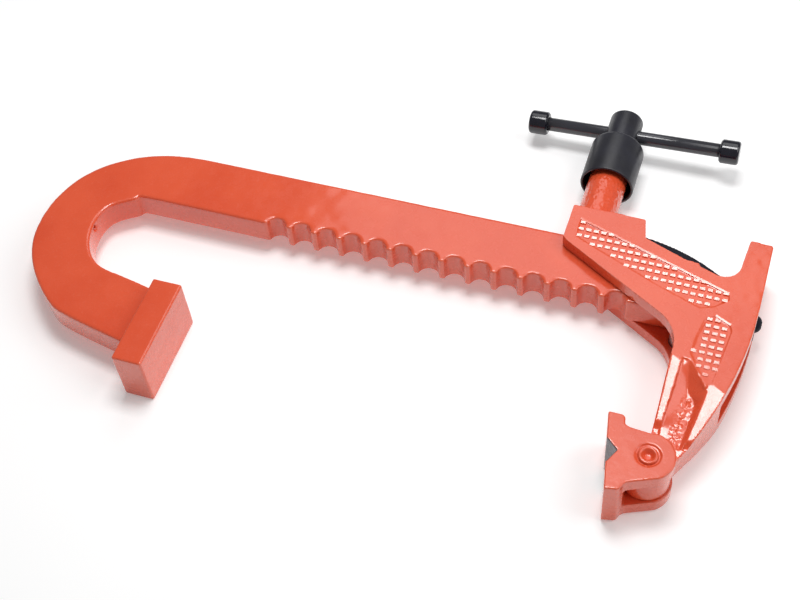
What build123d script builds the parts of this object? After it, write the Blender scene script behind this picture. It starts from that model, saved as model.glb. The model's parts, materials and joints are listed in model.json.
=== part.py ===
"""Heavy lever C clamp: a hooked rack bar, a sliding jaw that rocks on a rack pin, and a screw behind it.

The clamp lies flat. X runs along the bar from the anvil to the sliding jaw, Y runs from the work
side to the screw side, Z is up. The origin is the middle of the anvil's clamping face.
"""
from math import cos, radians, sin
import os

from build123d import *

os.makedirs("parts", exist_ok=True)

# ---- driving dimensions, mm -------------------------------------------------------------------
bar_thickness = 18.6
bar_half = bar_thickness / 2
rack_y = 95.5                    # line of the rack's lands: the clamp's throat depth
bar_width = 40.0
back_y = rack_y + bar_width      # the bar's plain back edge
bar_end_x = 305.0

notch_pitch = 16.6
notch_count = 14
notch_radius = 6.6
notch_first_x = 33.5             # centre of the notch nearest the hook
notch_sink = 0.8                 # the notch centres lie this far outside the land line

anvil_thickness = 19.0
anvil_length = 60.0
anvil_half_height = 19.0

cheek_half = 18.0                # half the jaw's width over both cheeks
slot_half = 9.5                  # half the gap between the cheeks
tongue_half = 8.2

screw_x = 222.7
screw_radius = 8.9
running_gap = 0.06               # radial clearance of a running fit
block_top_y = 153.0
bridge_y = 141.0                 # underside of the block that bridges the cheeks
bush_start_y = 147.0
bush_end_y = 199.0
bush_radius = 10.2
grub_y = 150.2
grub_radius = 2.5
boss_radius = 12.0
boss_end_y = 200.0

rack_pin_x = 290.0
rack_pin_radius = 6.0
rack_pin_y = rack_y - rack_pin_radius - 0.3
rack_pin_half = 14.3
pin_plug_radius = 7.0

pad_pin_x = 291.0
pad_pin_y = -7.3
pad_pin_radius = 5.0

head_start_y = 220.5
head_end_y = 246.0
head_radius = 10.75
sleeve_start_y = 187.0
sleeve_radius = 17.0
sleeve_wall = 1.7
handle_y = 232.7
handle_turn = 2.6                # how far the handle stands turned about the screw, degrees
handle_radius = 4.45
handle_left = -61.9              # outer ends of the two knobs, along the handle
handle_right = 75.6
knob_length = 12.5
knob_radius = 7.7

tail_half = 9.0
tail_left_x = 254.2
tail_right_x = 331.0
tail_seat_y = 120.0
tail_seat_x = 262.0
tail_screw_y = 106.0
tail_screw_radius = 3.0


def save(piece, node):
    """Label a finished piece and write it to its own file."""
    piece.label = node
    export_step(piece, f"parts/{node}.step")


def up_plane(x, y, z=0.0):
    """A plane whose normal points along +Y, for turned shapes about the screw's axis."""
    return Plane(origin=(x, y, z), x_dir=(1, 0, 0), z_dir=(0, 1, 0))


# ---- hook bar: a flat bar bent into a J, with round rack notches in its inner edge -------------
with BuildPart() as hook_bar:
    with BuildSketch(Plane.XY.offset(-bar_half)):
        with BuildLine():
            outer = Spline(
                (-28, back_y), (-81, 123.2), (-102.6, 104.5), (-115.3, 67), (-107, 32), (-80, 2.8), (-52, -6.6),
                tangents=((-1, 0), (1, -0.22)),
            )
            Line(outer @ 1, (-anvil_thickness, -13.2))
            Line((-anvil_thickness, -13.2), (-anvil_thickness, 28.4))
            Line((-anvil_thickness, 28.4), (-48.6, 33.9))
            inner = Spline(
                (-48.6, 33.9), (-63.5, 37.7), (-76.2, 51.8), (-80.1, 67), (-74.7, 84), (-62.5, 92.6), (-42, rack_y),
                tangents=((-1, 0.1), (1, 0)),
            )
            Line(inner @ 1, (bar_end_x, rack_y))
            Line((bar_end_x, rack_y), (bar_end_x, tail_seat_y))
            Line((bar_end_x, tail_seat_y), (tail_seat_x, tail_seat_y))
            Line((tail_seat_x, tail_seat_y), (tail_seat_x, back_y))
            Line((tail_seat_x, back_y), (-28, back_y))
        make_face()
        with Locations((notch_first_x, rack_y - notch_sink)):
            with GridLocations(notch_pitch, 1, notch_count, 1, align=(Align.MIN, Align.CENTER)):
                Circle(notch_radius, mode=Mode.SUBTRACT)
    extrude(amount=bar_thickness)
    rim = hook_bar.faces().filter_by(Plane.XY).edges()
    bend_edges = rim.filter_by(lambda edge: edge.length > 60 and edge.center().X < 150)
    fillet(bend_edges, radius=1.2)
    with Locations(Plane(origin=(bar_end_x, tail_screw_y, 0), z_dir=(1, 0, 0))):
        Hole(radius=tail_screw_radius, depth=22)
    with Locations(Plane(origin=(-79, 66.5, 4.5), z_dir=(1, 0.2, 0))):
        Hole(radius=1.9, depth=6)
save(hook_bar.part, "hook_bar")

# ---- anvil block, welded square across the end of the hook -----------------------------------
with BuildPart() as anvil_block:
    with Locations((-anvil_thickness / 2, 0, 0)):
        Box(anvil_thickness, anvil_length, 2 * anvil_half_height)
    fillet(anvil_block.edges(), radius=0.7)
save(anvil_block.part, "anvil_block")

# ---- weld bead around the joint between the bar and the anvil block ---------------------------
weld_leg = 1.8
with BuildPart() as anvil_weld:
    with BuildSketch(Plane(origin=(-anvil_thickness, 7.6, 0), x_dir=(0, 1, 0), z_dir=(-1, 0, 0))):
        Rectangle(41.6 + 2 * weld_leg, bar_thickness + 2 * weld_leg)
    with BuildSketch(Plane(origin=(-anvil_thickness - weld_leg, 7.5, 0), x_dir=(0, 1, 0), z_dir=(-1, 0, 0))):
        Rectangle(42.3, bar_thickness + 0.4)
    loft()
    add(hook_bar.part, mode=Mode.SUBTRACT)
save(anvil_weld.part, "anvil_weld")

# ---- tail stop: caps the free end of the bar and keeps the jaw from sliding off ---------------
with BuildPart() as tail_stop:
    with BuildSketch(Plane.XY.offset(-tail_half)):
        with BuildLine():
            crown = ThreePointArc((tail_left_x, 146.2), (280, 140.6), (302, 130.3))
            Line(crown @ 1, (tail_right_x, 113.6))
            Line((tail_right_x, 113.6), (tail_right_x, 97.5))
            Line((tail_right_x, 97.5), (bar_end_x, 97.5))
            Line((bar_end_x, 97.5), (bar_end_x, tail_seat_y))
            Line((bar_end_x, tail_seat_y), (tail_seat_x, tail_seat_y))
            Line((tail_seat_x, tail_seat_y), (tail_seat_x, back_y))
            Line((tail_seat_x, back_y), (tail_left_x, back_y))
            Line((tail_left_x, back_y), (tail_left_x, 146.2))
        make_face()
        far_corners = vertices().filter_by(lambda corner: corner.X > tail_right_x - 1)
        fillet(far_corners, radius=3)
    extrude(amount=2 * tail_half)
    with Locations(Plane(origin=(tail_right_x, tail_screw_y, 0), z_dir=(1, 0, 0))):
        Hole(radius=tail_screw_radius + 0.2, depth=40)
save(tail_stop.part, "tail_stop")

# ---- round-head screw that holds the tail stop to the bar -------------------------------------
with BuildPart() as tail_screw:
    with BuildSketch(Plane.XY):
        with BuildLine():
            Line((tail_right_x - 46, tail_screw_y), (tail_right_x - 46, tail_screw_y + tail_screw_radius))
            Line(
                (tail_right_x - 46, tail_screw_y + tail_screw_radius),
                (tail_right_x, tail_screw_y + tail_screw_radius),
            )
            Line((tail_right_x, tail_screw_y + tail_screw_radius), (tail_right_x, tail_screw_y + 5.2))
            dome = ThreePointArc(
                (tail_right_x, tail_screw_y + 5.2),
                (tail_right_x + 2.4, tail_screw_y + 3.3),
                (tail_right_x + 3.2, tail_screw_y),
            )
            Line(dome @ 1, (tail_right_x - 46, tail_screw_y))
        make_face()
    revolve(axis=Axis((0, tail_screw_y, 0), (1, 0, 0)))
    with BuildSketch(Plane(origin=(tail_right_x + 3.4, tail_screw_y, 0), z_dir=(1, 0, 0))):
        RegularPolygon(radius=2.0, side_count=6)
    extrude(amount=-2.2, mode=Mode.SUBTRACT)
save(tail_screw.part, "tail_screw")

# ---- jaw casting: two cheeks over the bar, a boss for the screw, a horn and the pressing arm ---
arm_left_x = 289.0
arm_plane = Plane(origin=(304.5, 52, 0), x_dir=(-0.488, -0.872, 0), z_dir=(-0.872, 0.488, 0))
slope_run = 43.0                 # over this run the arm thins from the cheeks' width to the tongue's
grip_depth = 0.8

with BuildPart() as jaw_casting:
    with BuildSketch(Plane.XY.offset(-cheek_half)):
        with BuildLine():
            Polyline((209.5, 127), (209.8, block_top_y), (254.6, 152.3), (257.5, 138.3), (283, 128.6))
            Polyline((283, 128.6), (291.5, 127.6), (293, 125.4), (303, 122))
            ThreePointArc((303, 122), (311.5, 123.6), (315.6, 131))
            Polyline((315.6, 131), (317.3, 152.3), (331, 151.6), (331, 104))
            ThreePointArc((331, 104), (328.6, 70), (321.7, 37))
            ThreePointArc((321.7, 37), (314.5, 17.5), (304.3, -3.6))
            ThreePointArc((304.3, -3.6), (291, pad_pin_y - 13.5), (277.5, pad_pin_y + 1.5))
            Polyline((277.5, pad_pin_y + 1.5), (281, 2.0), (arm_left_x, 10.5), (arm_left_x, 64))
            ThreePointArc((arm_left_x, 64), (285.8, 77.5), (277.3, 86.5))
            Polyline((277.3, 86.5), (212, 124.6), (209.5, 127))
        make_face()
        upper_corners = vertices().filter_by(lambda corner: corner.Y > 150)
        fillet(upper_corners, radius=1.6)
        inner_corner = vertices().filter_by(lambda corner: abs(corner.X - 257.5) < 0.1)
        fillet(inner_corner, radius=2.0)
    extrude(amount=2 * cheek_half)
    # slot between the cheeks, closed only by the bridge under the boss
    with BuildSketch(Plane.XY.offset(-slot_half)):
        with BuildLine():
            Polyline((200, bridge_y), (244, bridge_y), (244, 160), (340, 160), (340, 37.5), (323, 37.5))
            Polyline((323, 37.5), (303, 64), (288, 72), (270, 72), (200, 100), (200, bridge_y))
        make_face()
    extrude(amount=2 * slot_half, mode=Mode.SUBTRACT)
    # the arm's faces slope in to the thinner tongue
    with BuildSketch(arm_plane):
        with BuildLine():
            Polyline(
                (0, cheek_half), (slope_run, tongue_half), (95, tongue_half), (95, 40), (0, 40), (0, cheek_half)
            )
        make_face()
        mirror(about=Plane.XZ)
    extrude(amount=60, both=True, mode=Mode.SUBTRACT)
    for side in (1, -1):
        with BuildSketch(Plane.XY.offset(side * tongue_half)):
            with Locations((pad_pin_x, pad_pin_y)):
                Circle(15.8)
        extrude(amount=side * 20, mode=Mode.SUBTRACT)
    # two shallow grip recesses in each cheek
    for side in (1, -1):
        with BuildSketch(Plane.XY.offset(side * cheek_half)):
            with BuildLine():
                Polyline((216.5, 142.8), (312.4, 109.9), (313.6, 105.7), (306.4, 98.8), (298.4, 95.4))
                Polyline((298.4, 95.4), (273.3, 104.4), (226.9, 124.2), (217.2, 128.7), (216.5, 142.8))
            make_face()
            with BuildLine():
                Polyline((302.6, 88), (307.9, 92.8), (317.2, 88.3), (318.8, 83.9), (314.7, 46.5))
                Polyline((314.7, 46.5), (310.9, 43.2), (299.3, 63.6), (300.1, 75.1), (302.6, 88))
            make_face()
        extrude(amount=-side * grip_depth, mode=Mode.SUBTRACT)
    # boss and its bores
    with BuildSketch(up_plane(screw_x, bridge_y)):
        Circle(boss_radius)
    extrude(amount=boss_end_y - bridge_y)
    with BuildSketch(up_plane(screw_x, bush_start_y)):
        Circle(bush_radius)
    extrude(amount=60, mode=Mode.SUBTRACT)
    with BuildSketch(up_plane(screw_x, bridge_y)):
        Circle(9.8)
    extrude(amount=bush_start_y - bridge_y, mode=Mode.SUBTRACT)
    with BuildSketch(Plane.XY):
        with Locations((screw_x, grub_y)):
            Circle(grub_radius)
    extrude(amount=-40, mode=Mode.SUBTRACT)
    # blind bore for the rack pin and the seat of its plug, drilled from the far cheek
    with BuildSketch(Plane.XY.offset(-cheek_half)):
        with Locations((rack_pin_x, rack_pin_y)):
            Circle(rack_pin_radius + running_gap)
    extrude(amount=cheek_half + rack_pin_half + 0.2, mode=Mode.SUBTRACT)
    with BuildSketch(Plane.XY.offset(-cheek_half)):
        with Locations((rack_pin_x, rack_pin_y)):
            Circle(pin_plug_radius)
    extrude(amount=cheek_half - rack_pin_half - 0.2, mode=Mode.SUBTRACT)
    # bore for the pad's pin
    with BuildSketch(Plane.XY.offset(-cheek_half)):
        with Locations((pad_pin_x, pad_pin_y)):
            Circle(pad_pin_radius + running_gap)
    extrude(amount=2 * cheek_half, mode=Mode.SUBTRACT)
save(jaw_casting.part, "jaw_casting")

# ---- rack pin: the hardened roller that bears on the rack -------------------------------------
with BuildPart() as rack_pin:
    with BuildSketch(Plane.XY.offset(-rack_pin_half)):
        with Locations((rack_pin_x, rack_pin_y)):
            Circle(rack_pin_radius)
    extrude(amount=2 * rack_pin_half)
    chamfer(rack_pin.edges(), length=0.6)
save(rack_pin.part, "rack_pin")

# ---- threaded plug that closes the rack pin's bore --------------------------------------------
with BuildPart() as pin_plug:
    with BuildSketch(Plane.XY.offset(-cheek_half)):
        with Locations((rack_pin_x, rack_pin_y)):
            Circle(pin_plug_radius)
    extrude(amount=cheek_half - rack_pin_half - 0.2)
    with BuildSketch(Plane.XY.offset(-cheek_half)):
        with Locations((rack_pin_x, rack_pin_y)):
            RegularPolygon(radius=3.4, side_count=6)
    extrude(amount=2.2, mode=Mode.SUBTRACT)
save(pin_plug.part, "pin_plug")

# ---- threaded bush pressed into the boss ------------------------------------------------------
with BuildPart() as screw_bush:
    with BuildSketch(up_plane(screw_x, bush_start_y)):
        Circle(bush_radius)
        Circle(screw_radius + running_gap, mode=Mode.SUBTRACT)
    extrude(amount=bush_end_y - bush_start_y)
    with BuildSketch(Plane.XY.offset(-9.7)):
        with Locations((screw_x, grub_y)):
            Circle(grub_radius)
    extrude(amount=-10, mode=Mode.SUBTRACT)
save(screw_bush.part, "screw_bush")

# ---- socket set screw that locks the bush -----------------------------------------------------
with BuildPart() as bush_grub_screw:
    with BuildSketch(Plane.XY.offset(-9.7)):
        with Locations((screw_x, grub_y)):
            Circle(grub_radius)
    extrude(amount=-7.6)
    with BuildSketch(Plane.XY.offset(-17.3)):
        with Locations((screw_x, grub_y)):
            RegularPolygon(radius=1.4, side_count=6)
    extrude(amount=1.8, mode=Mode.SUBTRACT)
save(bush_grub_screw.part, "bush_grub_screw")

# ---- pressure foot: domed button that pushes on the bar's back --------------------------------
foot_tip_y = back_y + 0.4
foot_shoulder_y = 141.5
with BuildPart() as pressure_foot:
    with BuildSketch(Plane.XY):
        with BuildLine():
            dome = ThreePointArc(
                (screw_x, foot_tip_y),
                (screw_x + 4.6, foot_tip_y + 0.64),
                (screw_x + 9, foot_tip_y + 2.6),
            )
            Polyline(
                dome @ 1, (screw_x + 9, foot_shoulder_y), (screw_x + 5, foot_shoulder_y), (screw_x + 5, 145.8)
            )
            Polyline((screw_x + 5, 145.8), (screw_x + 4.2, 145.8), (screw_x + 4.2, 147), (screw_x + 5, 147))
            Polyline((screw_x + 5, 147), (screw_x + 5, 149.5), (screw_x, 149.5), (screw_x, foot_tip_y))
        make_face()
    revolve(axis=Axis((screw_x, 0, 0), (0, 1, 0)))
save(pressure_foot.part, "pressure_foot")

# ---- snap ring that keeps the foot on the screw ------------------------------------------------
with BuildPart() as foot_ring:
    with BuildSketch(up_plane(screw_x, 145.8)):
        Circle(5.6)
        Circle(4.2, mode=Mode.SUBTRACT)
    extrude(amount=1.2)
    with BuildSketch(up_plane(screw_x, 145.8)):
        with Locations((-5, 0)):
            Rectangle(6, 2)
    extrude(amount=1.2, mode=Mode.SUBTRACT)
save(foot_ring.part, "foot_ring")

# ---- spindle: screw shank with the round head that carries the handle --------------------------
handle_angle = radians(handle_turn)
handle_axis = (cos(handle_angle), 0, sin(handle_angle))
handle_cross = Plane(origin=(screw_x, handle_y, 0), x_dir=(0, 1, 0), z_dir=handle_axis)

with BuildPart() as spindle:
    with BuildSketch(up_plane(screw_x, foot_shoulder_y + 0.05)):
        Circle(screw_radius)
    extrude(amount=head_start_y - foot_shoulder_y)
    chamfer(spindle.edges().group_by(Axis.Y)[0], length=0.8)
    with BuildSketch(up_plane(screw_x, head_start_y)):
        Circle(head_radius)
    extrude(amount=head_end_y - head_start_y)
    fillet(spindle.edges().group_by(Axis.Y)[-1], radius=1.4)
    with BuildSketch(up_plane(screw_x, foot_shoulder_y)):
        Circle(5 + running_gap)
    extrude(amount=8.6, mode=Mode.SUBTRACT)
    with BuildSketch(up_plane(screw_x, 145.6)):
        Circle(5.9)
    extrude(amount=1.6, mode=Mode.SUBTRACT)
    with BuildSketch(handle_cross):
        Circle(handle_radius + running_gap)
    extrude(amount=20, both=True, mode=Mode.SUBTRACT)
    with BuildSketch(Plane.XY.offset(-5)):
        with Locations((screw_x, 217.2)):
            Circle(2)
    extrude(amount=-10, mode=Mode.SUBTRACT)
save(spindle.part, "spindle")

# ---- sleeve that turns with the spindle and covers the boss's end ------------------------------
with BuildPart() as dust_sleeve:
    with BuildSketch(up_plane(screw_x, sleeve_start_y)):
        Circle(sleeve_radius)
    extrude(amount=head_start_y - sleeve_start_y)
    chamfer(dust_sleeve.edges().group_by(Axis.Y)[-1], length=1.2)
    chamfer(dust_sleeve.edges().group_by(Axis.Y)[0], length=0.4)
    with BuildSketch(up_plane(screw_x, sleeve_start_y)):
        Circle(sleeve_radius - sleeve_wall)
    extrude(amount=28, mode=Mode.SUBTRACT)
    with BuildSketch(up_plane(screw_x, sleeve_start_y)):
        Circle(screw_radius)
    extrude(amount=40, mode=Mode.SUBTRACT)
    with BuildSketch(Plane.XY.offset(-5)):
        with Locations((screw_x, 217.2)):
            Circle(2)
    extrude(amount=-20, mode=Mode.SUBTRACT)
save(dust_sleeve.part, "dust_sleeve")

# ---- dowel that fixes the sleeve to the spindle -------------------------------------------------
with BuildPart() as sleeve_pin:
    with BuildSketch(Plane.XY.offset(-5)):
        with Locations((screw_x, 217.2)):
            Circle(2)
    extrude(amount=-11.5)
save(sleeve_pin.part, "sleeve_pin")

# ---- handle: sliding rod with a knob on each end ------------------------------------------------
knob_seat = 9.0                  # how deep the rod goes into each knob
pin_from_end = 5.0               # the knob pins' distance from the knobs' inner faces


def handle_plane(along):
    """A plane square to the handle, the given distance along it from the spindle's axis."""
    return Plane(
        origin=(screw_x + along * cos(handle_angle), handle_y, along * sin(handle_angle)),
        x_dir=(0, 1, 0),
        z_dir=handle_axis,
    )


def knob_pin_plane(along):
    """The plane of a knob pin's inner end; its normal points back out of the knob's far side."""
    depth = 2.0
    return Plane(
        origin=(
            screw_x + along * cos(handle_angle) - depth * sin(handle_angle),
            handle_y,
            along * sin(handle_angle) + depth * cos(handle_angle),
        ),
        x_dir=(0, 1, 0),
        z_dir=(sin(handle_angle), 0, -cos(handle_angle)),
    )


left_pin_at = handle_left + knob_length - pin_from_end
right_pin_at = handle_right - knob_length + pin_from_end
knob_pin_radius = 1.25

with BuildPart() as tommy_bar:
    rod_start = handle_left + knob_length - knob_seat
    rod_end = handle_right - knob_length + knob_seat
    with BuildSketch(handle_plane(rod_start)):
        Circle(handle_radius)
    extrude(amount=rod_end - rod_start)
    for at in (left_pin_at, right_pin_at):
        with BuildSketch(knob_pin_plane(at)):
            Circle(knob_pin_radius)
        extrude(amount=12, mode=Mode.SUBTRACT)
save(tommy_bar.part, "tommy_bar")

with BuildPart() as knob_left:
    with BuildSketch(handle_plane(handle_left)):
        Circle(knob_radius)
    extrude(amount=knob_length)
    fillet(knob_left.edges(), radius=1.3)
    with BuildSketch(handle_plane(handle_left + knob_length - knob_seat)):
        Circle(handle_radius)
    extrude(amount=knob_seat, mode=Mode.SUBTRACT)
    with BuildSketch(knob_pin_plane(left_pin_at)):
        Circle(knob_pin_radius)
    extrude(amount=12, mode=Mode.SUBTRACT)
save(knob_left.part, "knob_left")

with BuildPart() as knob_right:
    with BuildSketch(handle_plane(handle_right - knob_length)):
        Circle(knob_radius)
    extrude(amount=knob_length)
    fillet(knob_right.edges(), radius=1.3)
    with BuildSketch(handle_plane(handle_right - knob_length)):
        Circle(handle_radius)
    extrude(amount=knob_seat, mode=Mode.SUBTRACT)
    with BuildSketch(knob_pin_plane(right_pin_at)):
        Circle(knob_pin_radius)
    extrude(amount=12, mode=Mode.SUBTRACT)
save(knob_right.part, "knob_right")

with BuildPart() as knob_pins:
    for at in (left_pin_at, right_pin_at):
        with BuildSketch(knob_pin_plane(at)):
            Circle(knob_pin_radius)
        extrude(amount=9.6)
save(knob_pins.part, "knob_pins")

# ---- swivel pad: V-grooved plate with two ears ---------------------------------------------------
ear_gap_half = 8.4
ear_radius = 15.0
with BuildPart() as swivel_pad:
    with BuildSketch(Plane.XY.offset(-cheek_half)):
        with BuildLine():
            Polyline((269.9, -17), (274.2, -8.7), (267.2, -2.5), (264.3, 13.5), (264.9, 14.2), (271.6, 14.2))
            shoulder = ThreePointArc((271.6, 14.2), (273.8, 13.0), (274.4, 10.6))
            Polyline(shoulder @ 1, (275.2, 8.4), (278, 7.3), (289, 6.6), (294.5, 7.0))
            ear = ThreePointArc((294.5, 7.0), (pad_pin_x + ear_radius, pad_pin_y - 0.5), (299.5, -19.6))
            Polyline(
                ear @ 1, (284, -26.2), (282.2, -28), (280.8, -31.2), (279.6, -32), (272.9, -33.2), (269.9, -17)
            )
        make_face()
    extrude(amount=2 * cheek_half)
    with BuildSketch(Plane.XY.offset(-ear_gap_half)):
        with Locations((pad_pin_x, pad_pin_y)):
            Circle(14.1)
        with Locations((277, pad_pin_y)):
            Rectangle(40, 40, align=(Align.MIN, Align.MIN))
        with Locations((282.5, pad_pin_y)):
            Rectangle(40, 40, align=(Align.MIN, Align.MAX))
    extrude(amount=2 * ear_gap_half, mode=Mode.SUBTRACT)
    with BuildSketch(Plane.XY.offset(-cheek_half)):
        with Locations((pad_pin_x, pad_pin_y)):
            Circle(pad_pin_radius)
    extrude(amount=2 * cheek_half, mode=Mode.SUBTRACT)
    for side in (1, -1):
        with BuildSketch(Plane.XY.offset(side * cheek_half)):
            with Locations((pad_pin_x, pad_pin_y)):
                Circle(7)
        extrude(amount=-side * 0.8, mode=Mode.SUBTRACT)
save(swivel_pad.part, "swivel_pad")

# ---- pin of the pad, its ends dished and rolled over ---------------------------------------------
with BuildPart() as pad_pin:
    with BuildSketch(Plane.XY.offset(-cheek_half - 0.6)):
        with Locations((pad_pin_x, pad_pin_y)):
            Circle(pad_pin_radius)
    extrude(amount=2 * cheek_half + 1.2)
    for side in (1, -1):
        with BuildSketch(Plane.XY.offset(side * (cheek_half - 0.8))):
            with Locations((pad_pin_x, pad_pin_y)):
                Circle(5.7)
        extrude(amount=side * 1.4)
    fillet(pad_pin.edges().filter_by(lambda edge: abs(edge.center().Z) > cheek_half), radius=0.4)
    for side in (1, -1):
        with BuildSketch(Plane.XY.offset(side * (cheek_half + 0.6))):
            with Locations((pad_pin_x, pad_pin_y)):
                Circle(3.6)
        extrude(amount=-side * 3.2, taper=20, mode=Mode.SUBTRACT)
save(pad_pin.part, "pad_pin")
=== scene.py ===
"""Looks of the rack bar clamp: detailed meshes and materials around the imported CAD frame.

Sizes in the helpers are millimetres; MM turns them into the scene's metres. The pieces copy a CAD
node's shape, or are turned about a CAD node's axis, and get their rounded edges and fine detail here.
"""
import json
import math

import bmesh
import bpy
from mathutils import Matrix, Vector, noise


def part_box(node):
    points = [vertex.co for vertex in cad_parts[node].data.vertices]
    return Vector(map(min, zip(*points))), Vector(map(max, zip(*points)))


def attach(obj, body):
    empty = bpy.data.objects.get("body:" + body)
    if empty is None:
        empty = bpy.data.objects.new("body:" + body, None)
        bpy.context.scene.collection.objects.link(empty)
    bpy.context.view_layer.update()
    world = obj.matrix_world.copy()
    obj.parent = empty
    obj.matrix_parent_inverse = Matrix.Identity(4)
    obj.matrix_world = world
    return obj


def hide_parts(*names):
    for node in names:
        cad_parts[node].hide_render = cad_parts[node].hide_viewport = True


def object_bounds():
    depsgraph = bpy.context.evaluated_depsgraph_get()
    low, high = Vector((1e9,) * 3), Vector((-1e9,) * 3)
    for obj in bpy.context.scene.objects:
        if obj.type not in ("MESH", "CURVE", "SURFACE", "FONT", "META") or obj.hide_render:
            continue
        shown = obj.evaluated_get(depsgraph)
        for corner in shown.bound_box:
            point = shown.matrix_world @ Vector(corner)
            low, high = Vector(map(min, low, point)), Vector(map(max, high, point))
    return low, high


MM = 0.001

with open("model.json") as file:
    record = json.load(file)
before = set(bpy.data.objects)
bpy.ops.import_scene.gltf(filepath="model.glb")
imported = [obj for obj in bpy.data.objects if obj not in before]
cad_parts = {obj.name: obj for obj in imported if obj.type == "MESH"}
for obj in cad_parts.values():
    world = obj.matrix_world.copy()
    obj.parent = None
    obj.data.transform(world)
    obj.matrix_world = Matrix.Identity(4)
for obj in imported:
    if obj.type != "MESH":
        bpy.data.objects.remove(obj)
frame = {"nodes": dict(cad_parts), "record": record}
cad_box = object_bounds()
nodes = frame["nodes"]


def centre(node):
    """The middle of a CAD node's box, in millimetres."""
    low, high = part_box(node)
    return (Vector(low) + Vector(high)) / 2 / MM


def top(node, axis):
    """The highest coordinate of a CAD node along an axis (0, 1 or 2), in millimetres."""
    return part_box(node)[1][axis] / MM


def bottom(node, axis):
    """The lowest coordinate of a CAD node along an axis (0, 1 or 2), in millimetres."""
    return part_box(node)[0][axis] / MM


# ---- mesh helpers --------------------------------------------------------------------------------
def show(name, mesh, body, *replaced, slot=None, material=None, second=None, where=None):
    """Put a finished mesh in the scene as a piece that rides on a body and stands for CAD nodes.

    Faces whose middle (in millimetres) passes the test where() take the second material.
    """
    obj = bpy.data.objects.new(name, mesh)
    bpy.context.scene.collection.objects.link(obj)
    mesh.materials.clear()
    mesh.materials.append(material)
    for polygon in mesh.polygons:
        polygon.use_smooth = True
    if second:
        mesh.materials.append(second)
        for polygon in mesh.polygons:
            polygon.material_index = int(where(polygon.center / MM))
    if replaced:
        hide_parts(*replaced)
    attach(obj, body)
    return obj


def cad_copy(node):
    """A welded copy of a CAD node's mesh as a bmesh, in metres."""
    work = bmesh.new()
    work.from_mesh(nodes[node].data)
    bmesh.ops.remove_doubles(work, verts=work.verts, dist=0.00001)
    return work


def to_mesh(work, name):
    """Close a bmesh into a mesh with its faces turned outwards."""
    bmesh.ops.recalc_face_normals(work, faces=work.faces)
    mesh = bpy.data.meshes.new(name)
    work.to_mesh(mesh)
    work.free()
    return mesh


def evaluated(mesh, *steps):
    """The mesh after a chain of modifiers, each given as (type, settings)."""
    holder = bpy.data.objects.new("holder", mesh)
    bpy.context.scene.collection.objects.link(holder)
    for kind, settings in steps:
        modifier = holder.modifiers.new(kind.lower(), kind)
        for key, value in settings.items():
            setattr(modifier, key, value)
    bpy.context.view_layer.update()
    graph = bpy.context.evaluated_depsgraph_get()
    result = bpy.data.meshes.new_from_object(holder.evaluated_get(graph))
    bpy.data.objects.remove(holder)
    return result


def combined(mesh, operation, other):
    """The mesh after a UNION with another closed mesh, or the DIFFERENCE from it, as one skin."""
    tool = bpy.data.objects.new("tool", other)
    bpy.context.scene.collection.objects.link(tool)
    result = evaluated(mesh, ("BOOLEAN", {"operation": operation, "solver": "EXACT", "object": tool}))
    bpy.data.objects.remove(tool)
    return result


def remeshed(mesh, cell):
    """One closed skin of fine cells over everything in the mesh."""
    return evaluated(mesh, ("REMESH", {"mode": "VOXEL", "voxel_size": cell * MM}))


def smoothed(mesh, passes, keep):
    """The mesh with every edge rounded over a little and its cells thinned on flat stretches."""
    return evaluated(mesh, ("SMOOTH", {"factor": 0.5, "iterations": passes}), ("DECIMATE", {"ratio": keep}))


def cast(node, cell, passes, keep):
    """A CAD node's shape, remeshed and rounded over like a casting or a forging."""
    return smoothed(remeshed(to_mesh(cad_copy(node), node), cell), passes, keep)


def roughen(mesh, height, size, where=None):
    """Push the surface in and out by a soft noise of that height and grain size, in millimetres."""
    normals = [vertex.normal.copy() for vertex in mesh.vertices]
    for vertex, normal in zip(mesh.vertices, normals):
        weight = where(vertex.co / MM) if where else 1.0
        if weight > 0:
            wave = noise.noise(vertex.co / (size * MM))
            vertex.co += normal * (wave * height * weight * MM)
    return mesh


def prism(upper, lower):
    """A closed mesh between two loops of the same number of points, in millimetres."""
    work = bmesh.new()
    ring_up = [work.verts.new(Vector(point) * MM) for point in upper]
    ring_low = [work.verts.new(Vector(point) * MM) for point in lower]
    count = len(upper)
    for i in range(count):
        j = (i + 1) % count
        work.faces.new((ring_up[i], ring_up[j], ring_low[j], ring_low[i]))
    work.faces.new(ring_up)
    work.faces.new(list(reversed(ring_low)))
    bmesh.ops.triangulate(work, faces=work.faces)
    return to_mesh(work, "prism")


def rounded(profile, radius, steps=4):
    """A profile with its inner corners rounded: the two end points stay as they are."""
    points = [Vector(point) for point in profile]
    result = [points[0]]
    for before, corner, after in zip(points, points[1:], points[2:]):
        reach = min(radius, (before - corner).length * 0.45, (after - corner).length * 0.45)
        start = corner + (before - corner).normalized() * reach
        end = corner + (after - corner).normalized() * reach
        for step in range(steps + 1):
            t = step / steps
            result.append(start * (1 - t) ** 2 + corner * 2 * t * (1 - t) + end * t * t)
    result.append(points[-1])
    return result


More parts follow.
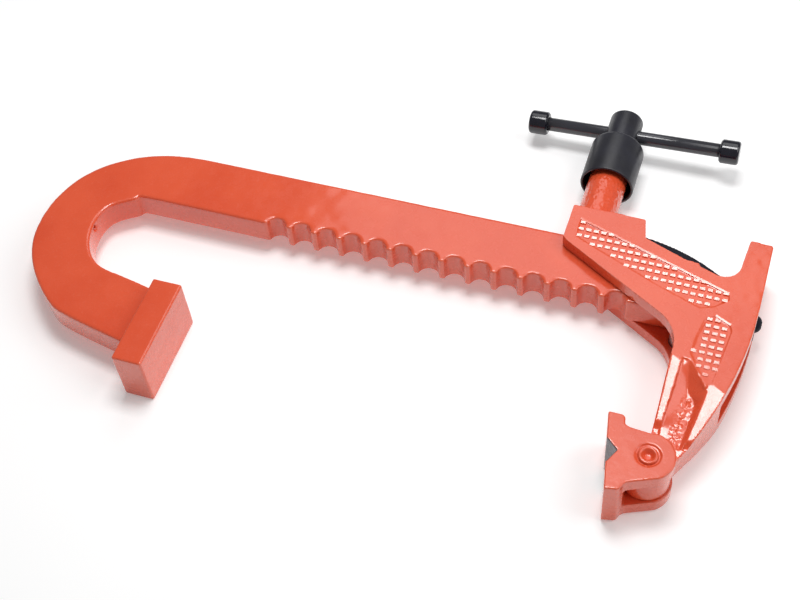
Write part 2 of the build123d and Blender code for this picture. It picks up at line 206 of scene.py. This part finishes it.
def turned(profile, origin, axis, closed=False, segments=96):
    """A mesh turned about an axis through origin; the profile holds (distance along, radius) pairs."""
    direction = Vector(axis).normalized()
    side = direction.orthogonal().normalized()
    other = direction.cross(side)
    work = bmesh.new()
    rings = []
    for along, radius in profile:
        foot = Vector(origin) + direction * along
        if radius < 1e-6:
            rings.append([work.verts.new(foot * MM)])
            continue
        ring = []
        for k in range(segments):
            angle = 2 * math.pi * k / segments
            spoke = side * math.cos(angle) + other * math.sin(angle)
            ring.append(work.verts.new((foot + spoke * radius) * MM))
        rings.append(ring)
    pairs = list(zip(rings, rings[1:]))
    if closed:
        pairs.append((rings[-1], rings[0]))
    for first, second in pairs:
        for k in range(segments):
            m = (k + 1) % segments
            if len(first) == 1:
                work.faces.new((first[0], second[k], second[m]))
            elif len(second) == 1:
                work.faces.new((first[k], first[m], second[0]))
            else:
                work.faces.new((first[k], first[m], second[m], second[k]))
    return to_mesh(work, "turned")


# ---- materials -----------------------------------------------------------------------------------
ENAMEL_DEEP = (0.76, 0.085, 0.028, 1)
ENAMEL_BRIGHT = (0.82, 0.105, 0.038, 1)
ENAMEL_FLECK = (0.88, 0.26, 0.17, 1)
ENAMEL_THIN_COAT_AND_SHEEN = (0.88, 0.28, 0.18, 1)    # lighter on outer edges: partly a thinner coat over an edge, partly a painted highlight
BLACK_DEEP = (0.007, 0.007, 0.012, 1)
BLACK_WORN = (0.014, 0.014, 0.024, 1)
BLACK_RUBBED = (0.16, 0.16, 0.17, 1)   # where an edge is rubbed bright
TOOL_MARK_PITCH = 0.45


class Surface:
    """A node material in the making: a Principled shader and helpers that wire textures to it."""

    def __init__(self, name):
        self.material = bpy.data.materials.new(name)
        self.material.use_nodes = True
        self.tree = self.material.node_tree
        self.shader = self.tree.nodes["Principled BSDF"]
        self.place = self.tree.nodes.new("ShaderNodeTexCoord").outputs["Object"]

    def set(self, **values):
        """Give the shader's inputs plain values, with _ for a space in their names."""
        for key, value in values.items():
            self.shader.inputs[key.replace("_", " ")].default_value = value

    def wire(self, source, target):
        """Link an output to an input."""
        self.tree.links.new(source, target)

    def noise(self, scale, detail):
        """A soft noise; the higher the scale, the finer its grain."""
        node = self.tree.nodes.new("ShaderNodeTexNoise")
        node.inputs["Scale"].default_value = scale
        node.inputs["Detail"].default_value = detail
        node.inputs["Roughness"].default_value = 0.55
        self.wire(self.place, node.inputs["Vector"])
        return node.outputs["Fac"]

    def bands(self, direction, pitch):
        """Fine parallel turning marks across an axis, pitch millimetres apart."""
        node = self.tree.nodes.new("ShaderNodeTexWave")
        node.bands_direction = direction
        node.inputs["Scale"].default_value = 2 * math.pi / (20 * pitch * MM)
        node.inputs["Distortion"].default_value = 1.5
        node.inputs["Detail"].default_value = 2
        self.wire(self.place, node.inputs["Vector"])
        return node.outputs["Fac"]

    def spread(self, source, low, high, to_low=0.0, to_high=1.0):
        """The source with low to high stretched over to_low to to_high."""
        node = self.tree.nodes.new("ShaderNodeMapRange")
        node.inputs["From Min"].default_value = low
        node.inputs["From Max"].default_value = high
        node.inputs["To Min"].default_value = to_low
        node.inputs["To Max"].default_value = to_high
        self.wire(source, node.inputs["Value"])
        return node.outputs["Result"]

    def mix(self, factor, first, second):
        """A blend of two colours, each an RGBA tuple or another node's output."""
        node = self.tree.nodes.new("ShaderNodeMix")
        node.data_type = "RGBA"
        self.wire(factor, node.inputs["Factor"])
        for socket, value in ((node.inputs["A"], first), (node.inputs["B"], second)):
            if isinstance(value, tuple):
                socket.default_value = value
            else:
                self.wire(value, socket)
        return node.outputs["Result"]

    def colour(self, source):
        """Drive the base colour."""
        self.wire(source, self.shader.inputs["Base Color"])

    def roughness(self, source):
        """Drive the roughness."""
        self.wire(source, self.shader.inputs["Roughness"])

    def bumps(self, *layers):
        """Chained bumps, each given as (height source, distance in mm, strength)."""
        previous = None
        for source, distance, strength in layers:
            node = self.tree.nodes.new("ShaderNodeBump")
            node.inputs["Distance"].default_value = distance * MM
            node.inputs["Strength"].default_value = strength
            self.wire(source, node.inputs["Height"])
            if previous:
                self.wire(previous, node.inputs["Normal"])
            previous = node.outputs["Normal"]
        self.wire(previous, self.shader.inputs["Normal"])

    def edges(self, low=0.52, high=0.58):
        """1 on outer edges and 0 elsewhere, from the mesh's own curvature."""
        node = self.tree.nodes.new("ShaderNodeNewGeometry")
        return self.spread(node.outputs["Pointiness"], low, high)


def enamel(name, cast_height, peel_height):
    """Thick glossy orange enamel over a casting or a forged bar."""
    paint = Surface(name)
    drift = paint.spread(paint.noise(22, 3), 0.35, 0.65)
    base = paint.mix(drift, ENAMEL_DEEP, ENAMEL_BRIGHT)
    grain = paint.spread(paint.noise(900, 2), 0.60, 0.80)
    flecked = paint.mix(paint.spread(grain, 0, 1, 0, 0.25), base, ENAMEL_FLECK)
    # painted highlight: outer edges are lightened towards a pale salmon, partly standing for the thinner coat
    # there
    edge_thin_and_sheen = paint.spread(paint.edges(), 0, 1, 0, 0.35)
    paint.colour(paint.mix(edge_thin_and_sheen, flecked, ENAMEL_THIN_COAT_AND_SHEEN))
    paint.roughness(paint.spread(paint.noise(160, 3), 0.3, 0.7, 0.20, 0.32))
    paint.set(Coat_Weight=0.7, Coat_Roughness=0.09, IOR=1.45)
    paint.bumps((paint.noise(260, 3), cast_height, 0.6), (paint.noise(1100, 2), peel_height, 0.5))
    return paint.material


def black_steel(name, direction, rough_low, rough_high, shine):
    """Blackened turned steel with faint tool marks across its axis and edges rubbed bright."""
    steel = Surface(name)
    drift = steel.spread(steel.noise(60, 4), 0.35, 0.65)
    base = steel.mix(drift, BLACK_DEEP, BLACK_WORN)
    rub = steel.spread(steel.edges(0.53, 0.62), 0, 1, 0, 0.4)
    steel.colour(steel.mix(rub, base, BLACK_RUBBED))
    steel.roughness(steel.spread(steel.noise(300, 4), 0.3, 0.7, rough_low, rough_high))
    steel.set(Metallic=0.0, IOR=1.6, Specular_IOR_Level=shine)
    steel.bumps((steel.bands(direction, TOOL_MARK_PITCH), 0.02, 0.35), (steel.noise(900, 3), 0.03, 0.25))
    return steel.material


def machined(name, tint, metallic=1.0):
    """Bare turned metal with fine marks and a slightly dulled film of oil."""
    metal = Surface(name)
    light = tuple(min(1, c * 1.12) for c in tint) + (1,)
    dark = tuple(c * 0.82 for c in tint) + (1,)
    metal.colour(metal.mix(metal.spread(metal.noise(140, 4), 0.35, 0.65), dark, light))
    metal.roughness(metal.spread(metal.noise(500, 3), 0.3, 0.7, 0.22, 0.4))
    metal.set(Metallic=metallic)
    metal.bumps((metal.noise(1500, 2), 0.02, 0.4))
    return metal.material


def floor_white():
    """Matt white board, so softly mottled that it reads as plain."""
    board = Surface("studio_floor")
    board.colour(board.mix(board.noise(3, 2), (0.93, 0.93, 0.93, 1), (0.95, 0.95, 0.95, 1)))
    board.set(Roughness=0.9, Specular_IOR_Level=0.1)
    board.set(Emission_Color=(1, 1, 1, 1), Emission_Strength=0.2)
    return board.material


bar_paint = enamel("bar_enamel", 0.10, 0.03)
cast_paint = enamel("casting_enamel", 0.22, 0.04)
sleeve_black = black_steel("sleeve_black", "Y", 0.34, 0.44, shine=0.5)
rod_black = black_steel("rod_black", "X", 0.10, 0.18, shine=0.5)
stop_black = black_steel("stop_black", "X", 0.5, 0.6, shine=0.1)
# a dark grey for the flanks of the pad's V-groove, much darker than the enamel around them
groove_flank_grey = machined("groove_flank_grey", (0.16, 0.15, 0.16), metallic=0.6)
bright_steel = machined("bright_steel", (0.56, 0.56, 0.57))
bush_brass = machined("bush_brass", (0.72, 0.52, 0.22))

# ---- bar, anvil block and weld -------------------------------------------------------------------
bar_mesh = roughen(cast("hook_bar", cell=0.8, passes=5, keep=0.5), height=0.12, size=9)
show("bar_forging", bar_mesh, "bar", "hook_bar", slot="enamel", material=bar_paint)

block_mesh = roughen(cast("anvil_block", cell=0.6, passes=4, keep=0.4), height=0.10, size=8)
show("anvil_block_body", block_mesh, "bar", "anvil_block", slot="enamel", material=bar_paint)

weld_mesh = roughen(cast("anvil_weld", cell=0.35, passes=4, keep=0.6), height=0.5, size=2.4)
show("weld_bead", weld_mesh, "bar", "anvil_weld", slot="enamel", material=cast_paint)

stop_mesh = cast("tail_stop", cell=0.6, passes=2, keep=0.5)
show("tail_stop_plate", stop_mesh, "bar", "tail_stop", slot="black_steel", material=stop_black)

# ---- jaw casting ---------------------------------------------------------------------------------
CHEEK = top("jaw_casting", 2)          # height of the cheeks' outer faces over the mid-plane
RECESS_DEPTH = 0.8
WEDGE_SINK = 0.5                       # how far a recess's floor wedge reaches into the casting
DASH = (3.3, 1.9)                      # length and width of one raised dash
DASH_PITCH = 4.6
DASH_HIGH = 0.52                       # how far a dash's back and front edges stand over the cheek
DASH_LOW = 0.08
DASH_BEVEL = 0.2
DASH_SINK = 1.2                        # how far its foot lies under the cheek's face
DASH_TEST = 0.8                        # a dash stays if its axis lies in the recess this far each way
UPPER_ROWS = (218.9, 140.2, 5.1)       # first dash's x and y, and the step from row to row
LOWER_ROWS = (300.6, 89.4, 4.74)
RIM_HALF_WIDTH = 0.6
RIM_HIGH = 0.40                        # how far a lip's outer and inner edges stand over the cheek
RIM_LOW = 0.12
RIM_SINK = 1.3
# each recess: corner x, corner y and how deep its floor lies there
UPPER_RECESS = [(216.5, 142.8, 0.8), (312.4, 109.9, 0.8), (313.6, 105.7, 0.6), (306.4, 98.8, 0.35),
                (298.4, 95.4, 0.25), (273.3, 104.4, 0.2), (226.9, 124.2, 0.2), (217.2, 128.7, 0.35)]
LOWER_RECESS = [(302.6, 88, 0.6), (307.9, 92.8, 0.8), (317.2, 88.3, 0.8), (318.8, 83.9, 0.6),
                (314.7, 46.5, 0.35), (310.9, 43.2, 0.2), (299.3, 63.6, 0.2), (300.1, 75.1, 0.35)]
ARM_START = Vector((304.5, 52))        # where the arm's faces begin to slope in
ARM_WAY = Vector((-0.488, -0.872))     # direction in which they slope, down towards the pad
ARM_END = 8.2                          # height of the faces where the slope ends
ARM_LENGTH = 43
ARM_FALL = (CHEEK - ARM_END) / ARM_LENGTH
ARM_X = (286, 323)                     # the stretch of the casting that holds the arm
ARM_Y = (6, 59.6)
ARM_SKIN = 0.7                         # points this near to the sloping faces are moved
TONGUE_FACE = 7.3                      # the faces come no closer to the mid-plane
FLANGE_DROP = 1.6                      # how far a flange steps down above the tongue
LEFT_DROP_Y = (20.5, 16)               # where the steps begin and end, going down
RIGHT_DROP_Y = (12, 8)
LEFT_LIP = 1.1                         # how far the hollow's left wall starts under the flange
LEFT_WALL_CURVE = 1.3
RIGHT_WALL = 2.3                       # width of the hollow's right wall near the tongue
RIGHT_WALL_LEAN = 0.06                 # how much wider it gets per millimetre upwards
FLOOR_OPENS_Y = (44, 34)               # where the hollow's floor widens from a line to a band
# the lowest line of the hollow between the flanges: y, x and height over the mid-plane
VALLEY = [(8, 302.0, 8.0), (22, 303.0, 8.6), (34, 303.4, 9.8), (44, 302.4, 11.8), (59.6, 299.4, 17.9)]
WEB_Y = (7, 38)                        # the stretch of the hollow whose floor is rough
WEB_HALF_WIDTH = 5
WEB_LOW = 6                            # nearer to the mid-plane there is no floor
BOSS_SKIN_Y = (152.5, 155)             # where the boss's rough skin fades in
BOSS_SKIN_X = 262
JAW_SHARP_ANGLE = math.radians(24)


def inside(outline, x, y, margin):
    """True if a point lies inside an outline and at least margin from its sides."""
    hit = False
    for (x1, y1, _), (x2, y2, _) in zip(outline, outline[1:] + outline[:1]):
        if (y1 > y) != (y2 > y) and x < (x2 - x1) * (y - y1) / (y2 - y1) + x1:
            hit = not hit
        side = Vector((x2 - x1, y2 - y1))
        t = max(0, min(1, Vector((x - x1, y - y1)).dot(side) / side.length_squared))
        if (Vector((x1, y1)) + side * t - Vector((x, y))).length < margin:
            return False
    return hit


def dash_places(outline, rows):
    """The middles of the dashes that fit in one recess, row by row."""
    first_x, first_y, row_step = rows
    low = min(y for _, y, _ in outline)
    reach = max(x for x, _, _ in outline)
    y = first_y
    while y > low:
        x = first_x
        while x < reach:
            if all(inside(outline, x + end, y, 0.1) for end in (-DASH_TEST, DASH_TEST)):
                yield x, y
            x += DASH_PITCH
        y -= row_step


def add_dash(work, x, y, side):
    """One raised dash, a little higher along its back edge, sunk into the recess floor."""
    half_x, half_y = DASH[0] / 2, DASH[1] / 2
    rings = []
    # each level: height of its front edge and of its back edge, and how much wider it is
    levels = ((-DASH_SINK, -DASH_SINK, 0.1),
              (DASH_LOW - DASH_BEVEL, DASH_HIGH - DASH_BEVEL, 0.0),
              (DASH_LOW, DASH_HIGH, -0.15))
    for low_z, high_z, grow in levels:
        ring = []
        for sx, sy in ((-1, -1), (1, -1), (1, 1), (-1, 1)):
            z = CHEEK + (high_z if sy > 0 else low_z)
            point = Vector((x + sx * (half_x + grow), y + sy * (half_y + grow), side * z))
            ring.append(work.verts.new(point * MM))
        rings.append(ring)
    for low, high in zip(rings, rings[1:]):
        for i in range(4):
            j = (i + 1) % 4
            work.faces.new((low[i], low[j], high[j], high[i]))
    work.faces.new(rings[-1])
    work.faces.new(list(reversed(rings[0])))


def recess_floor(outline, side):
    """A wedge that lifts the recess floor towards its lower sides."""
    upper = [(x, y, side * (CHEEK - depth)) for x, y, depth in outline]
    lower = [(x, y, side * (CHEEK - RECESS_DEPTH - WEDGE_SINK)) for x, y, _ in outline]
    return prism(upper, lower)


def rim(start, end, side):
    """A thin raised lip along one side of a recess, with its top tilted towards the recess."""
    first = Vector(start[:2])
    last = Vector(end[:2])
    inward = Vector(((last - first).y, -(last - first).x)).normalized()
    half = inward * RIM_HALF_WIDTH
    corners = [first - half, last - half, last + half, first + half]
    heights = (RIM_HIGH, RIM_HIGH, RIM_LOW, RIM_LOW)
    upper = [(x, y, side * (CHEEK + z)) for (x, y), z in zip(corners, heights)]
    lower = [(x, y, side * (CHEEK - RIM_SINK)) for x, y in corners]
    return prism(upper, lower)


def slope(x, y):
    """Height of the arm's sloping face over the mid-plane."""
    run = (Vector((x, y)) - ARM_START).dot(ARM_WAY)
    return CHEEK - ARM_FALL * max(0, run)


def ramp(value, start, end):
    """0 before start, 1 after end, and a smooth rise between."""
    t = max(0.0, min(1.0, (value - start) / (end - start)))
    return t * t * (3 - 2 * t)


def falling(y, limits):
    """0 above the first limit, 1 below the second, and a smooth rise between."""
    start, end = limits
    return ramp(-y, -start, -end)


def valley(y):
    """The x and the height of the lowest line of the hollow between the arm's two flanges."""
    for (y1, x1, z1), (y2, x2, z2) in zip(VALLEY, VALLEY[1:]):
        if y <= y2:
            t = max(0.0, (y - y1) / (y2 - y1))
            return x1 + (x2 - x1) * t, z1 + (z2 - z1) * t
    return VALLEY[-1][1:]


def left_flange(y):
    """The x of the left flange's inner edge."""
    return 293.5 + (y - 21.8) * 0.065


def right_flange(y):
    """The x of the right flange's inner edge along its long lower stretch."""
    return 308 + (y - 9.6) * 0.158


def upper_flange(y):
    """The x of the same edge above, where it runs back to the hollow's upper end."""
    return 301.4 + (58.4 - y) * 0.686


def arm_face(x, y):
    """Height of one face of the arm over the mid-plane, with its flanges and hollow."""
    outer = slope(x, y)
    left = left_flange(y)
    right = min(right_flange(y), upper_flange(y))
    if x <= left:
        return max(TONGUE_FACE, outer - FLANGE_DROP * falling(y, LEFT_DROP_Y))
    if x >= right:
        return max(TONGUE_FACE, outer - FLANGE_DROP * falling(y, RIGHT_DROP_Y))
    low_x, low_z = valley(y)
    wall = right_flange(y) - RIGHT_WALL - RIGHT_WALL_LEAN * (y - 10)
    foot = low_x + falling(y, FLOOR_OPENS_Y) * (wall - low_x)
    if x < low_x:
        side = slope(left, y) - LEFT_LIP
        return low_z + (side - low_z) * ((low_x - x) / (low_x - left)) ** LEFT_WALL_CURVE
    if x < foot:
        return low_z
    return low_z + (slope(right, y) - low_z) * (x - foot) / (right - foot)


def carve_arm(mesh):
    """Press the flanges and the hollow into both faces of the arm."""
    for vertex in mesh.vertices:
        x, y, z = vertex.co / MM
        on_arm = ARM_X[0] < x < ARM_X[1] and ARM_Y[0] < y < ARM_Y[1]
        if on_arm and abs(z) > slope(x, y) - ARM_SKIN:
            drop = arm_face(x, y) - slope(x, y)
            if drop < 0:
                vertex.co.z = math.copysign(abs(z) + drop, z) * MM
    return mesh


def rough_web(point):
    """How rough the floor of the arm's hollow is: most along its lowest line."""
    if not WEB_Y[0] < point.y < WEB_Y[1] or abs(point.z) < WEB_LOW:
        return 0.0
    return max(0.0, 1 - abs(point.x - valley(point.y)[0]) / WEB_HALF_WIDTH)


def rough_boss(point):
    """1 on the boss around the screw and 0 elsewhere."""
    return ramp(point.y, *BOSS_SKIN_Y) if point.x < BOSS_SKIN_X else 0.0


def jaw_mesh():
    """The jaw casting with its carved arm, rough skin, recess floors, lips and raised dashes."""
    work = cad_copy("jaw_casting")
    for side in (1, -1):
        for outline in (UPPER_RECESS, LOWER_RECESS):
            work.from_mesh(recess_floor(outline, side))
    mesh = carve_arm(remeshed(to_mesh(work, "jaw"), cell=0.5))
    mesh = smoothed(mesh, passes=4, keep=0.5)
    roughen(mesh, height=0.10, size=6)
    roughen(mesh, height=0.6, size=1.6, where=rough_web)
    roughen(mesh, height=0.35, size=1.6, where=rough_boss)
    # the dashes overlap the lips, so the two sets join the casting one after the other
    rims = bmesh.new()
    dashes = bmesh.new()
    for side in (1, -1):
        rims.from_mesh(rim(UPPER_RECESS[0], UPPER_RECESS[1], side))
        rims.from_mesh(rim(LOWER_RECESS[1], LOWER_RECESS[2], side))
        for outline, rows in ((UPPER_RECESS, UPPER_ROWS), (LOWER_RECESS, LOWER_ROWS)):
            for x, y in dash_places(outline, rows):
                add_dash(dashes, x, y, side)
    mesh = combined(mesh, "UNION", to_mesh(rims, "rims"))
    mesh = combined(mesh, "UNION", to_mesh(dashes, "dashes"))
    for polygon in mesh.polygons:
        polygon.use_smooth = True
    mesh.set_sharp_from_angle(angle=JAW_SHARP_ANGLE)
    return mesh


show("jaw_casting_body", jaw_mesh(), "jaw", "jaw_casting", slot="enamel", material=cast_paint)

# ---- swivel pad and its dished pin ---------------------------------------------------------------
# the V-groove seen along its length: one mouth edge, its bottom and the other mouth edge
GROOVE = [Vector((267.2, -2.5)), Vector((274.2, -8.7)), Vector((269.9, -17))]
GROOVE_REACH = 0.45                    # a face this near to a flank is part of the groove
FLANK_SPAN = (0.04, 0.96)              # the share of a flank that is coloured dark grey


def in_groove(point):
    """True on the two flanks of the pad's V-groove, which are coloured dark grey."""
    spot = Vector((point.x, point.y))
    for start, end in zip(GROOVE, GROOVE[1:]):
        side = end - start
        t = max(FLANK_SPAN[0], min(FLANK_SPAN[1], (spot - start).dot(side) / side.length_squared))
        if (start + side * t - spot).length < GROOVE_REACH:
            return True
    return False


pad_mesh = roughen(cast("swivel_pad", cell=0.42, passes=5, keep=0.5), height=0.06, size=6)
show("swivel_pad_body", pad_mesh, "pad", "swivel_pad", slot="enamel",
     material=cast_paint, second=groove_flank_grey, where=in_groove)

pad_axis = centre("pad_pin")
pin_reach = top("pad_pin", 2)
# one end of the pin, from the middle of its dish out to its rolled edge: (depth, radius) pairs
pin_end = [(2.8, 0), (2.7, 1.8), (0.5, 3.5), (0, 4.2), (0.2, 5.2), (0.9, 5.65), (1.35, 5.65), (1.4, 5.0)]
pin_profile = [(-pin_reach + along, radius) for along, radius in pin_end]
pin_profile += [(pin_reach - along, radius) for along, radius in reversed(pin_end)]
pin_mesh = turned(rounded(pin_profile, 0.5), (pad_axis.x, pad_axis.y, 0), (0, 0, 1))
show("pad_pin_dished", pin_mesh, "pad", "pad_pin", slot="enamel", material=cast_paint)

# ---- spindle, sleeve and handle ------------------------------------------------------------------
spindle_axis = centre("spindle")
screw_foot = (spindle_axis.x, 0, 0)
SHANK = 8.9                            # radius of the spindle below its head (HEAD is the head's)
HEAD = (top("spindle", 0) - bottom("spindle", 0)) / 2
SLEEVE = (top("dust_sleeve", 0) - bottom("dust_sleeve", 0)) / 2
tip_y = bottom("spindle", 1)
head_top_y = top("spindle", 1)
sleeve_low_y = bottom("dust_sleeve", 1)
sleeve_top_y = top("dust_sleeve", 1)
joints = {joint["name"]: joint for joint in frame["record"]["behaviour"]["joints"]}
rod_axis = Vector(joints["handle_slide"]["axis"]).normalized()
rod_y = (top("tommy_bar", 1) + bottom("tommy_bar", 1)) / 2
ROD = (top("tommy_bar", 1) - bottom("tommy_bar", 1)) / 2
KNOB = (top("knob_left", 1) - bottom("knob_left", 1)) / 2
FOOT_BORE = 5.06                       # radius and depth of the bore that holds the pressure foot
FOOT_BORE_DEPTH = 8.5
RING_GROOVE = 5.9                      # radius of the snap ring's groove in that bore
RING_GROOVE_SPAN = (4.0, 5.7)
HEAD_EDGE = 0.6
TIP_EDGE = 0.8
ROD_GAP = 0.06                         # running gap of the rod in the head's cross hole
SLEEVE_WALL = 1.7
SLEEVE_BORE_DEPTH = 27
SLEEVE_SEAT_GAP = 0.04
KNOB_LENGTH = 12.5
KNOB_SEAT = 9.0                        # how deep the rod sits in a knob
KNOB_TILT_SHARE = 0.8                  # the crowned edge reaches less far than a sharp one would

groove_low, groove_high = (tip_y + height for height in RING_GROOVE_SPAN)
bore_end = tip_y + FOOT_BORE_DEPTH
spindle_profile = [(bore_end, 0), (bore_end, FOOT_BORE), (groove_high, FOOT_BORE), (groove_high, RING_GROOVE),
                   (groove_low, RING_GROOVE), (groove_low, FOOT_BORE), (tip_y, FOOT_BORE),
                   (tip_y, SHANK - TIP_EDGE), (tip_y + TIP_EDGE, SHANK),
                   (sleeve_top_y, SHANK), (sleeve_top_y, HEAD - HEAD_EDGE),
                   (sleeve_top_y + HEAD_EDGE, HEAD), (head_top_y - 1.0, HEAD), (head_top_y - 0.3, HEAD - 0.5),
                   (head_top_y, HEAD - 1.4), (head_top_y, 0)]
spindle_mesh = turned(rounded(spindle_profile, 0.8), screw_foot, (0, 1, 0))
hole_foot = Vector((spindle_axis.x, rod_y, 0))
past_head = 20
hole_profile = [(-past_head, 0), (-past_head, ROD + ROD_GAP), (past_head, ROD + ROD_GAP), (past_head, 0)]
rod_hole = turned(hole_profile, hole_foot, rod_axis)
spindle_mesh = combined(spindle_mesh, "DIFFERENCE", rod_hole)
show("spindle_turned", spindle_mesh, "screw", "spindle", slot="black_steel", material=sleeve_black)

SLEEVE_BORE = SLEEVE - SLEEVE_WALL
seat = SHANK + SLEEVE_SEAT_GAP
sleeve_bore_y = sleeve_low_y + SLEEVE_BORE_DEPTH
sleeve_profile = [(sleeve_low_y, SLEEVE_BORE + 0.6), (sleeve_low_y, SLEEVE - 0.5),
                  (sleeve_low_y + 0.5, SLEEVE), (sleeve_top_y - 2.0, SLEEVE),
                  (sleeve_top_y - 0.8, SLEEVE - 0.6), (sleeve_top_y, SLEEVE - 2.4), (sleeve_top_y, seat),
                  (sleeve_bore_y, seat), (sleeve_bore_y, SLEEVE_BORE),
                  (sleeve_low_y + 0.5, SLEEVE_BORE), (sleeve_low_y, SLEEVE_BORE + 0.6)]
sleeve_mesh = turned(rounded(sleeve_profile, 0.6)[:-1], screw_foot, (0, 1, 0), closed=True)
show("dust_sleeve_turned", sleeve_mesh, "screw", "dust_sleeve", slot="black_steel", material=sleeve_black)


def knob(outer_end, inward):
    """A handle knob: a crowned cylinder whose blind bore takes the rod's end."""
    profile = [(0, 0), (0, KNOB - 1.6), (0.4, KNOB - 0.6), (1.4, KNOB), (KNOB_LENGTH - 1.2, KNOB),
               (KNOB_LENGTH - 0.1, KNOB - 1.1), (KNOB_LENGTH, KNOB - 1.6), (KNOB_LENGTH, ROD),
               (KNOB_LENGTH - KNOB_SEAT, ROD), (KNOB_LENGTH - KNOB_SEAT, 0)]
    return turned(rounded(profile, 0.5), outer_end, inward)


def rod_point(x):
    """The point of the handle's axis at that x."""
    along = (x - spindle_axis.x) / rod_axis.x
    return hole_foot + rod_axis * along


tilt_reach = KNOB * abs(rod_axis.z)
left_end = rod_point(bottom("knob_left", 0) + tilt_reach * KNOB_TILT_SHARE)
right_end = rod_point(top("knob_right", 0) - tilt_reach * KNOB_TILT_SHARE)
show("knob_left_turned", knob(left_end, rod_axis), "handle", "knob_left",
     slot="black_steel", material=rod_black)
show("knob_right_turned", knob(right_end, -rod_axis), "handle", "knob_right",
     slot="black_steel", material=rod_black)

rod_start = left_end + rod_axis * (KNOB_LENGTH - KNOB_SEAT)
rod_length = (right_end - left_end).length - 2 * (KNOB_LENGTH - KNOB_SEAT)
ROD_PLAY = 0.02                        # keeps the rod's skin off the knobs' bores
ROD_EDGE = 0.5
rod_profile = [(ROD_PLAY, 0), (ROD_PLAY, ROD - ROD_EDGE), (ROD_EDGE, ROD - ROD_PLAY),
               (rod_length - ROD_EDGE, ROD - ROD_PLAY), (rod_length - ROD_PLAY, ROD - ROD_EDGE),
               (rod_length - ROD_PLAY, 0)]
rod_mesh = turned(rod_profile, rod_start, rod_axis)
show("handle_rod", rod_mesh, "handle", "tommy_bar", slot="black_steel", material=rod_black)

# ---- CAD nodes that keep their own shape ---------------------------------------------------------
carried = {
    "tail_screw": stop_black,
    "rack_pin": bright_steel,
    "pin_plug": rod_black,
    "screw_bush": bush_brass,
    "bush_grub_screw": rod_black,
    "pressure_foot": bright_steel,
    "foot_ring": bright_steel,
    "sleeve_pin": bright_steel,
    "knob_pins": bright_steel,
}
for node_name, finish in carried.items():
    node_mesh = nodes[node_name].data
    node_mesh.materials.clear()
    node_mesh.materials.append(finish)

# ---- studio --------------------------------------------------------------------------------------
floor_gap = 0.00005
floor_half = 4.0
floor_z = cad_box[0][2] - floor_gap
quarters = ((-1, -1), (1, -1), (1, 1), (-1, 1))
floor_corners = [(sx * floor_half, sy * floor_half, floor_z) for sx, sy in quarters]
floor_mesh = bpy.data.meshes.new("floor")
floor_mesh.from_pydata(floor_corners, [], [(0, 1, 2, 3)])
floor_mesh.materials.append(floor_white())
floor = bpy.data.objects.new("floor", floor_mesh)
bpy.context.scene.collection.objects.link(floor)

world = bpy.data.worlds.new("studio")
bpy.context.scene.world = world
world.use_nodes = True
sky = world.node_tree.nodes["Background"]
sky.inputs["Color"].default_value = (1, 1, 1, 1)
sky.inputs["Strength"].default_value = 0.2


def softbox(name, place, aim, width, depth, power):
    """A rectangular area light that points at aim."""
    light = bpy.data.lights.new(name, "AREA")
    light.shape = "RECTANGLE"
    light.size = width
    light.size_y = depth
    light.energy = power
    lamp = bpy.data.objects.new(name, light)
    lamp.location = place
    lamp.rotation_euler = (Vector(aim) - Vector(place)).to_track_quat("-Z", "Y").to_euler()
    bpy.context.scene.collection.objects.link(lamp)


middle = (0.13, 0.08, 0)
# the overhead light lies where the jaw's dashes and lips mirror it towards the camera
softbox("key", (1.05, 0.25, 1.0), middle, 0.9, 0.9, 5.8)
softbox("overhead", (0.12, 0.255, 1.06), (0.12, 0.19, 0), 0.44, 0.28, 6.2)
softbox("behind", (0.02, 0.88, 1.06), middle, 0.7, 0.7, 2.5)

camera_data = bpy.data.cameras.new("camera")
camera_data.lens = 61.7
camera_data.sensor_width = 36
camera_data.clip_start = 0.01
camera = bpy.data.objects.new("camera", camera_data)
# the camera's own axes in the scene
right = Vector((0.9460, 0.3164, -0.0712))
up = Vector((-0.2149, 0.7759, 0.5931))
back = right.cross(up)
pose = Matrix((right, up, back)).transposed().to_4x4()
pose.translation = Vector((0.3256, -0.3847, 0.6640))
camera.matrix_world = pose
bpy.context.scene.collection.objects.link(camera)
bpy.context.scene.camera = camera
bpy.context.scene.view_settings.view_transform = "Standard"
